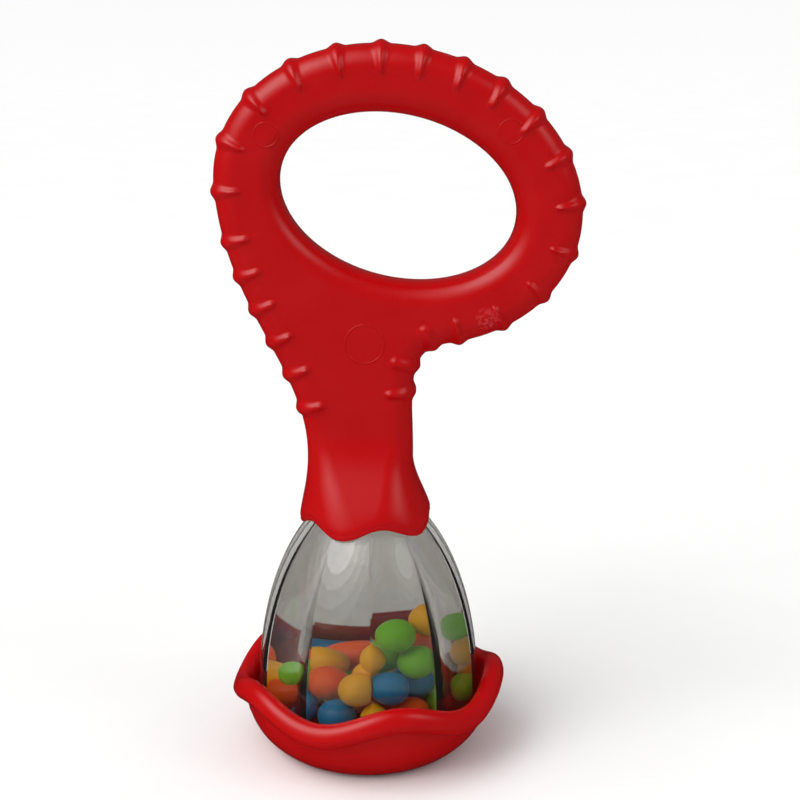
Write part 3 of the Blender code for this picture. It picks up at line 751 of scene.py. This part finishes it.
    def petalled(self, grid: np.ndarray, level: np.ndarray, inner: bool) -> np.ndarray:
        """Give the collar its petals: the edge rises and falls, the petals swell and the edge rolls in.

        The roll's inset is its depth * (1 - sqrt(1 - share^2)), where share is 1 at the edge and 0 at the
        roll's height; a fine crease, a bell curve in height, follows the edge a little above it.

        Args:
            grid: the skin's points.
            level: the height whose section each row has.
            inner: True for the inner skin, which has no roll.

        Returns:
            The moved points.
        """
        azimuth = np.arctan2(grid[..., 0], -grid[..., 1])
        above = (level - self.edge_row)[:, None]
        wave = PETALS.wave(azimuth) * (1.0 - smooth_step(above, 0.0, self.wave_fade))
        share = np.clip(1.0 - above / self.roll_height, 0.0, 1.0)
        inset = self.roll * (1.0 - np.sqrt(1.0 - share * share))
        inset = inset + self.crease * np.exp(-((above - self.crease_height) / self.crease_width) ** 2)
        radius = np.hypot(grid[..., 0], grid[..., 1])
        grown = 1.0 - (self.collar_swell * wave + (0.0 if inner else inset)) / radius
        return np.stack([grid[..., 0] * grown, grid[..., 1] * grown, grid[..., 2] + self.collar_wave * wave],
                        axis=-1)

    def mark(self, skin: Skin, centre: np.ndarray, radius: float, side: float) -> None:
        """Add a fine raised ring, half sunk in the face: a small ellipse carried round a circle.

        Args:
            skin: the mesh that it joins.
            centre: x and z of its middle.
            radius: the circle's radius.
            side: -1 for the front face and 1 for the back one.
        """
        turn = np.radians(np.arange(0.0, 360.0, self.mark_steps[0]))[:, None]
        roll = np.radians(np.arange(0.0, 360.0, self.mark_steps[1]))[None, :]
        out = radius + self.mark_half[0] * np.cos(roll)
        depth = self.half_depth + self.mark_half[1] * np.sin(roll)
        grid = np.stack([centre[0] + out * np.cos(turn), side * depth * np.ones_like(turn),
                         centre[1] + out * np.sin(turn)], axis=-1)
        numbers = skin.add(grid)
        skin.quads(np.hstack([numbers, numbers[:, :1]]), wrap=True)

    def shell(self, name: str, side: float, finish: bpy.types.Material) -> bpy.types.Object:
        """A closed half: both skins, the parting faces and the mouth.

        Args:
            name: the piece's name.
            side: -1 for the front shell and 1 for the back one.
            finish: the material.

        Returns:
            The finished object.
        """
        skin = Skin()
        outer = self.skin_side(skin, side, False)
        inner = self.skin_side(skin, side, True)
        mouth = [np.concatenate([half[0][0], half[0][-1, ::-1]]) for half in (outer, inner)]
        skin.bridge(*mouth)
        skin.fill((outer[0][:, 0], False), (inner[0][:, 0], False),
                  (np.array([outer[0][0, 0], inner[0][0, 0]]), False),
                  (np.array([outer[0][-1, 0], inner[0][-1, 0]]), False))
        skin.bridge(np.append(outer[1][:, 0], outer[1][0, 0]), np.append(inner[1][:, 0], inner[1][0, 0]))
        if side < 0:
            for angle, share, radius in self.marks:
                self.mark(skin, self.ellipse(np.array(angle), share * self.band), radius, side)
        return skin.finish(name, finish)

    def skin_side(self, skin: Skin, side: float, inner: bool) -> tuple[np.ndarray, np.ndarray, int]:
        """Add one skin with its flat face filled.

        Args:
            skin: the mesh that it joins.
            side: -1 for the front shell and 1 for the back one.
            inner: True for the inner skin, whose outline is thinned because nothing shows it.

        Returns:
            The point numbers of its grid and of its hole, and its neck rows.
        """
        grid, neck, hole = self.surface(side, inner)
        if inner:
            plate = np.arange(neck, len(grid) - neck)[::self.inner_thinning]
            rows = np.concatenate([np.arange(neck), plate, np.arange(len(grid) - neck, len(grid))])
            grid = grid[rows]
        numbers = skin.add(grid)
        skin.quads(numbers)
        around_hole = skin.add(hole)
        skin.quads(around_hole, wrap=True)
        last = numbers[:, -1]
        skin.bridge(last[:neck + 1], last[::-1][:neck + 1])
        skin.fill((last[neck:len(last) - neck], True), (around_hole[:, -1], True))
        return numbers, around_hole, neck

    def build(self, finish: bpy.types.Material) -> None:
        """Build both shells and set them on the body."""
        for name, side in (("handle_front", -1.0), ("handle_back", 1.0)):
            settle(self.shell(name + "_shell", side, finish), "body", name)


# ---------------------------------------------------------------- chamber and floor

@dataclass
class Chamber:
    """The clear dome: round outside, panels inside, a ceiling and the grooved spigot that the shells hold."""

    top: float = 56.0
    ceiling: float = 54.0
    spigot: float = 5.6
    groove: tuple[float, float, float] = (59.4, 61.4, 1.6)
    spigot_top: float = 64.0
    edge_round: float = 0.35
    edge_step: float = 0.1
    sharp: float = 12.0
    rows: int = 70
    panel_columns: int = 10
    corner_columns: int = 5

    def azimuths(self) -> np.ndarray:
        """Set the columns evenly across each panel and closer at the corners between panels.

        Returns:
            The columns' azimuths in radians.
        """
        pitch = 2.0 * math.pi / DOME.sides
        flat_end = math.acos(math.cos(pitch / 2.0) / DOME.corner_share)
        half = np.concatenate([np.linspace(0.0, flat_end, self.panel_columns),
                               np.linspace(flat_end, pitch / 2.0, self.corner_columns)[1:]])
        one = np.concatenate([-half[:0:-1], half[:-1]])
        middles = math.radians(DOME.edge_azimuth) + pitch * (np.arange(DOME.sides) + 0.5)
        return (middles[:, None] + one[None, :]).ravel()

    def build(self, finish: bpy.types.Material) -> None:
        """Build the dome as one closed wall, inside, over its foot, outside and up the spigot.

        Args:
            finish: the clear material.
        """
        azimuth = self.azimuths()[:, None]
        low = DOME.foot
        heights = np.concatenate([[low, low + self.edge_step],
                                  np.linspace(low + self.edge_round, self.top, self.rows)])
        inward = np.array([self.edge_round, self.edge_step] + [0.0] * self.rows)
        outside = around(DOME.radii(heights) - inward, heights, azimuth)
        inner_heights = np.linspace(low, self.ceiling, self.rows)[::-1]
        inside = around(DOME.inside(inner_heights, azimuth), inner_heights, azimuth)
        foot, head, depth = self.groove
        core = self.spigot - depth
        radii = np.array([self.spigot, self.spigot, core, core, self.spigot, self.spigot])
        levels = np.array([self.top, foot, foot, head, head, self.spigot_top])
        post = around(radii, levels, azimuth)
        skin = Skin()
        numbers = skin.add(np.concatenate([inside, outside, post], axis=1))
        skin.quads(numbers, wrap=True)
        skin.fan(numbers[:, 0], np.array([0.0, 0.0, self.ceiling]))
        skin.fan(numbers[:, -1], np.array([0.0, 0.0, self.spigot_top]))
        settle(skin.finish("chamber_dome", finish, self.sharp), "body", "chamber")


Wave = Callable[[np.ndarray, np.ndarray, np.ndarray], tuple[np.ndarray, np.ndarray]]


@dataclass
class Turned:
    """A piece turned about Z from a rounded profile."""

    name: str
    node: str
    slot: str
    profile: np.ndarray
    steps: int = 240

    def build(self, finish: bpy.types.Material, wave: Wave | None = None) -> None:
        """Carry the profile round the axis.

        Args:
            finish: the material.
            wave: moves each point's radius and height by its azimuth.
        """
        azimuth = np.radians(np.arange(self.steps) * 360.0 / self.steps)[:, None]
        radius, height = self.profile[None, 1:-1, 0], self.profile[None, 1:-1, 1]
        if wave is not None:
            radius, height = wave(radius, height, azimuth)
        skin = Skin()
        numbers = skin.add(around(radius, height, azimuth))
        skin.quads(numbers, wrap=True)
        skin.fan(numbers[:, 0], np.array([0.0, 0.0, self.profile[0, 1]]))
        skin.fan(numbers[:, -1], np.array([0.0, 0.0, self.profile[-1, 1]]))
        settle(skin.finish(self.name, finish), "body", self.node)


SIDE_SHARE = 0.45       # of a profile's side that one rounded corner may take


def rounded(corners: np.ndarray, radius: float, steps: int = 5) -> np.ndarray:
    """Round a profile's inner corners.

    Each corner becomes a quadratic curve between two points at the radius, or at a share of the shorter side.

    Args:
        corners: the profile's corners, its two ends on the axis.
        radius: how far from each corner its curve starts, in millimetres.
        steps: points on each curve.

    Returns:
        The rounded profile.
    """
    before, here, after = corners[:-2], corners[1:-1], corners[2:]
    back, on = before - here, after - here
    back_length, on_length = np.hypot(*back.T), np.hypot(*on.T)
    reach = np.minimum(radius, SIDE_SHARE * np.minimum(back_length, on_length))[:, None]
    start = here + back / back_length[:, None] * reach
    end = here + on / on_length[:, None] * reach
    share = np.linspace(0.0, 1.0, steps)[None, :, None]
    curve = ((1 - share) ** 2 * start[:, None] + 2 * (1 - share) * share * here[:, None]
             + share ** 2 * end[:, None])
    return np.concatenate([corners[:1], curve.reshape(-1, 2), corners[-1:]])


@dataclass
class ChamberFloor:
    """The floor plug on its flange, which lies under the chamber's edge."""

    level: float = 9.5
    thickness: float = 1.6
    corner: float = 0.3

    def build(self, finish: bpy.types.Material) -> None:
        """Build the floor and set it on the body.

        Args:
            finish: the material.
        """
        plug = DOME.radius - DOME.wall - FLOOR_GAP
        rim = DOME.radius - FLANGE_INSET
        top = DOME.foot - FLOOR_GAP
        foot = top - FLANGE
        under = self.level - self.thickness
        inside = plug - self.thickness
        corners = np.array([(0.0, under), (inside, under), (inside, foot), (rim, foot), (rim, top),
                            (plug, top), (plug, self.level), (0.0, self.level)])
        Turned("floor_plug", "chamber_floor", "floor_red", rounded(corners, self.corner)).build(finish)


# ---------------------------------------------------------------- cup

@dataclass
class Cup:
    """The cup: a rounded bowl whose rim is a thick soft roll, waved in five petals."""

    foot_radius: float = 17.7
    floor: float = 2.2
    wall: float = 2.2
    bowl_height: float = 9.6
    bowl_curve: tuple[tuple[float, float], ...] = ((0.26, 0.05), (0.47, 0.19), (0.73, 0.45), (0.90, 0.73),
                                                   (1.0, 1.0))
    bowl_points: int = 26
    bowl_smoothing: int = 5
    rim_overhang: float = 1.05
    rim_height: float = 15.1
    rim_wave: float = 2.05
    rim_half: tuple[float, float] = (2.3, 2.8)
    rim_roll: tuple[float, float] = (-105.0, 190.0)
    rim_points: int = 40
    rim_ridge: float = 0.14
    ridge_turn: tuple[float, float] = (-8.0, 16.0)
    ledge_width: float = 2.0
    inner_corner: float = 0.5
    steps: int = 360

    def profile(self) -> np.ndarray:
        """The profile from the foot's middle, up the bowl, over the roll, down inside to the floor's middle.

        The bowl is a curve through five shares of its width and height, smoothed by a moving mean; the roll
        is an ellipse with a faint ridge, a bell curve in its angle, along its outside.

        Returns:
            Radius and height of each point.
        """
        ledge = DOME.foot - 2.0 * FLOOR_GAP - FLANGE
        bore = DOME.radius + SEAT_GAP
        seat = DOME.radius - FLANGE_INSET - self.ledge_width
        wall = bore + self.wall
        knots = np.array([(0.0, 0.0)] + list(self.bowl_curve))
        share = np.linspace(0.0, 1.0, self.bowl_points)
        along = np.linspace(0.0, 1.0, len(knots))
        kernel = np.ones(self.bowl_smoothing) / self.bowl_smoothing
        width, rise = (np.convolve(np.pad(np.interp(share, along, knots[:, axis]), self.bowl_smoothing // 2,
                                          mode="reflect", reflect_type="odd"), kernel, "valid")
                       for axis in (0, 1))
        bowl = np.stack([self.foot_radius + (wall - self.foot_radius) * width, self.bowl_height * rise], 1)
        turn = np.radians(np.linspace(*self.rim_roll, self.rim_points))
        off = (np.degrees(turn) - self.ridge_turn[0]) / self.ridge_turn[1]
        ridge = 1.0 + self.rim_ridge / self.rim_half[0] * np.exp(-off ** 2)
        roll = np.stack([wall + self.rim_overhang + self.rim_half[0] * np.cos(turn) * ridge,
                         self.rim_height + self.rim_half[1] * np.sin(turn)], 1)
        inside = min(self.foot_radius, seat) - self.wall
        middle = ((seat + inside) / 2.0, (ledge + self.floor) / 2.0 - self.wall / 2.0)
        inner = rounded(np.array([roll[-1], (bore, (ledge + self.rim_height) / 2.0), (bore, ledge),
                                  (seat, ledge), middle, (inside, self.floor), (0.0, self.floor)]),
                        self.inner_corner)
        return np.concatenate([[(0.0, 0.0)], bowl, roll, inner[1:]])

    def waved(self, radius: np.ndarray, height: np.ndarray,
              azimuth: np.ndarray) -> tuple[np.ndarray, np.ndarray]:
        """Add wave * fade to the height: the rim follows the petals, and the wall under it less and less."""
        fade = smooth_step(height, self.bowl_height - self.floor, self.rim_height - self.rim_half[1])
        return radius, height + self.rim_wave * fade * PETALS.wave(azimuth)

    def build(self, finish: bpy.types.Material) -> None:
        """Build the cup and set it on the body."""
        Turned("cup", "base_cup", "cup_red", self.profile(), self.steps).build(finish, self.waved)


# ---------------------------------------------------------------- beads

@dataclass
class Bead:
    """A moulded bead: a ball with a faint seam round its middle."""

    diameter: float = 7.2
    seam: float = 0.03
    seam_width: float = 4.0
    pole_step: float = 2.4
    tilt_span: tuple[float, float] = (0.4, 1.3)
    full_turn: float = 6.28
    rows: int = 20
    columns: int = 32

    def build(self, node: str, finish: bpy.types.Material) -> None:
        """Build one bead where its CAD node is.

        A point's radius is the ball's plus the seam's hump, a bell curve in latitude; each bead's poles
        point its own way, which the letters of its name set.

        Args:
            node: the bead's CAD node and body.
            finish: the material of its colour.
        """
        low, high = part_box(node)
        centre = (np.array(low) + np.array(high)) / 2.0 / MM
        rise = np.linspace(90.0, -90.0, self.rows + 1)[None, 1:-1]
        azimuth = np.arange(self.columns)[:, None] * (360.0 / self.columns)
        radius = self.diameter / 2.0 - self.seam + self.seam * np.exp(-(rise / self.seam_width) ** 2)
        up, turn = np.radians(rise), np.radians(azimuth)
        ball = np.stack([radius * np.cos(up) * np.cos(turn), radius * np.cos(up) * np.sin(turn),
                         radius * np.sin(up) * np.ones_like(turn)], axis=-1)
        number = sum(ord(letter) for letter in node) * self.pole_step
        tilt, spin = self.tilt_span[0] + number % self.tilt_span[1], number % self.full_turn
        roll = np.array([[1.0, 0.0, 0.0], [0.0, math.cos(tilt), -math.sin(tilt)],
                         [0.0, math.sin(tilt), math.cos(tilt)]])
        yaw = np.array([[math.cos(spin), -math.sin(spin), 0.0], [math.sin(spin), math.cos(spin), 0.0],
                        [0.0, 0.0, 1.0]])
        way = (yaw @ roll).T
        pole = (self.diameter / 2.0 - self.seam) * np.array([0.0, 0.0, 1.0]) @ way
        skin = Skin()
        numbers = skin.add(ball @ way + centre)
        skin.quads(numbers, wrap=True)
        skin.fan(numbers[:, 0], centre + pole)
        skin.fan(numbers[:, -1], centre - pole)
        settle(skin.finish(node + "_ball", finish), node, node)


# ---------------------------------------------------------------- studio

@dataclass
class Studio:
    """A pale floor, soft light from the upper left and a little from the right, and the camera."""

    camera_place: tuple[float, float, float] = (7.22, -330.0, 166.4)
    camera_pitch: float = 14.62
    lens: float = 70.07
    sensor: float = 36.0
    floor_radii: tuple[float, float] = (50.0, 60000.0)
    floor_rings: int = 24
    floor_turn: float = 5.0
    floor_drop: float = 0.02
    floor_colour: str = "F4F4F3"
    floor_deep: str = "EEEEEC"
    world_colour: str = "F2F3F5"
    world_strength: float = 0.56
    ground_strength: float = 0.1
    mirror_share: float = 0.15
    backdrop_strength: float = 1.12
    horizon_blend: float = 0.1
    lamp_spreads: tuple[float, ...] = (36.0, 52.0, 68.0, 84.0)
    lamps: tuple[tuple[str, float, float, float, float], ...] = (("key", -54.0, 46.0, 1.0, 2.75),
                                                                 ("side", 62.0, 34.0, 0.6, 0.45))

    def sun(self, name: str, azimuth: float, height: float, spread: float, power: float) -> None:
        """Hang a far soft light.

        Args:
            name: its name.
            azimuth: where it stands, in degrees from the front towards +X.
            height: degrees above the horizon.
            spread: its width in degrees.
            power: its strength.
        """
        light = bpy.data.lights.new(name, "SUN")
        light.angle = math.radians(spread)
        light.energy = power
        lamp = bpy.data.objects.new(name, light)
        lamp.rotation_euler = (math.radians(90.0 - height), 0.0, math.radians(azimuth))
        bpy.context.scene.collection.objects.link(lamp)

    def floor(self) -> None:
        """Lay a round floor with a faint mottle, its rings wider and wider apart."""
        skin = Skin()
        radii = np.geomspace(*self.floor_radii, self.floor_rings)
        turn = np.radians(np.arange(0.0, 360.0, self.floor_turn))[:, None]
        numbers = skin.add(around(radii[None, :], np.array(-self.floor_drop), turn))
        skin.quads(numbers, wrap=True)
        skin.fan(numbers[:, 0], np.array([0.0, 0.0, -self.floor_drop]))
        paper = MouldedPlastic("studio_card", self.floor_colour, self.floor_deep, roughness=0.8,
                               grain_pitch=2.0, grain_height=0.01, cloud_pitch=60.0)
        floor = skin.finish("studio_floor", paper.build())
        floor.visible_glossy = False

    def camera(self) -> None:
        """Set the camera, which looks along +Y and down by its pitch."""
        eye = bpy.data.cameras.new("view")
        eye.lens = self.lens
        eye.sensor_width = self.sensor
        eye.clip_start = 0.01
        eye.clip_end = 100.0
        camera = bpy.data.objects.new("view", eye)
        camera.location = [MM * value for value in self.camera_place]
        camera.rotation_euler = (math.radians(90.0 - self.camera_pitch), 0.0, 0.0)
        bpy.context.scene.collection.objects.link(camera)
        bpy.context.scene.camera = camera

    def build(self) -> None:
        """Set the floor, the lights, the sky and the camera.

        Each lamp is a stack of discs, one inside the other, so that its mirror image fades at its edge.  The
        sky is plain white behind the rattle, and dimmer where a glossy surface mirrors it.
        """
        self.floor()
        self.camera()
        for spread in self.lamp_spreads:
            for name, azimuth, height, width, power in self.lamps:
                self.sun(name, azimuth, height, width * spread, power / len(self.lamp_spreads))
        world = bpy.data.worlds.new("studio")
        world.use_nodes = True
        tree = world.node_tree
        sky = tree.nodes["Background"]
        sky.inputs["Color"].default_value = to_linear(self.world_colour)
        way = add_node(tree, "ShaderNodeTexCoord").outputs["Generated"]
        rise = add_node(tree, "ShaderNodeSeparateXYZ", links={0: way})
        strength = add_node(tree, "ShaderNodeMapRange",
                            values={"From Min": -self.horizon_blend, "From Max": self.horizon_blend,
                                    "To Min": self.ground_strength, "To Max": self.world_strength},
                            links={"Value": rise.outputs["Z"]})
        path = add_node(tree, "ShaderNodeLightPath")
        mirrored = add_node(tree, "ShaderNodeMath", {"operation": "SUBTRACT", "use_clamp": True},
                            links={0: path.outputs["Is Glossy Ray"], 1: path.outputs["Is Transmission Ray"]})
        share = add_node(tree, "ShaderNodeMapRange", values={"To Min": 1.0, "To Max": self.mirror_share},
                         links={"Value": mirrored.outputs["Value"]})
        light = add_node(tree, "ShaderNodeMath", {"operation": "MULTIPLY"},
                         links={0: strength.outputs["Result"], 1: share.outputs["Result"]})
        seen = add_node(tree, "ShaderNodeMix", {"data_type": "FLOAT"}, {3: self.backdrop_strength},
                        {0: path.outputs["Is Camera Ray"], 2: light.outputs["Value"]})
        tree.links.new(seen.outputs[0], sky.inputs["Strength"])
        bpy.context.scene.world = world
        bpy.context.scene.view_settings.view_transform = "Standard"


# ---------------------------------------------------------------- the rattle

BEAD_FINISHES = {
    Colour.YELLOW: MouldedPlastic("bead_yellow_styrene", "FFBE08", "F4AC04", roughness=0.34, specular=0.25),
    Colour.GREEN: MouldedPlastic("bead_green_styrene", "86D62E", "76C424", roughness=0.34, specular=0.25),
    Colour.BLUE: MouldedPlastic("bead_blue_styrene", "0088C0", "0078B0", roughness=0.34, specular=0.25),
    Colour.ORANGE: MouldedPlastic("bead_orange_styrene", "FF6408", "F05404", roughness=0.34, specular=0.25),
}


def main() -> None:
    """Build the studio and every piece of the rattle."""
    logging.basicConfig(level=logging.INFO, format="%(name)s %(message)s")
    Studio().build()
    # The handle's finish carries a painted highlight on the ring's face.
    Handle().build(PaintedHighlightPlastic("handle_abs_moulded", "B00004", "A40003", specular=0.3).build())
    Chamber().build(ClearStyrene("chamber_clear_styrene").build())
    ChamberFloor().build(MouldedPlastic("floor_abs_moulded", "AA0004", "9E0003", specular=0.3).build())
    Cup().build(MouldedPlastic("cup_abs_moulded", "B20004", "A40003", specular=0.3).build())
    finishes = {colour: finish.build() for colour, finish in BEAD_FINISHES.items()}
    bead = Bead()
    for node in sorted(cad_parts):
        if node.startswith("bead_"):
            bead.build(node, finishes[Colour(node.split("_")[1])])


if __name__ == "__main__":
    main()
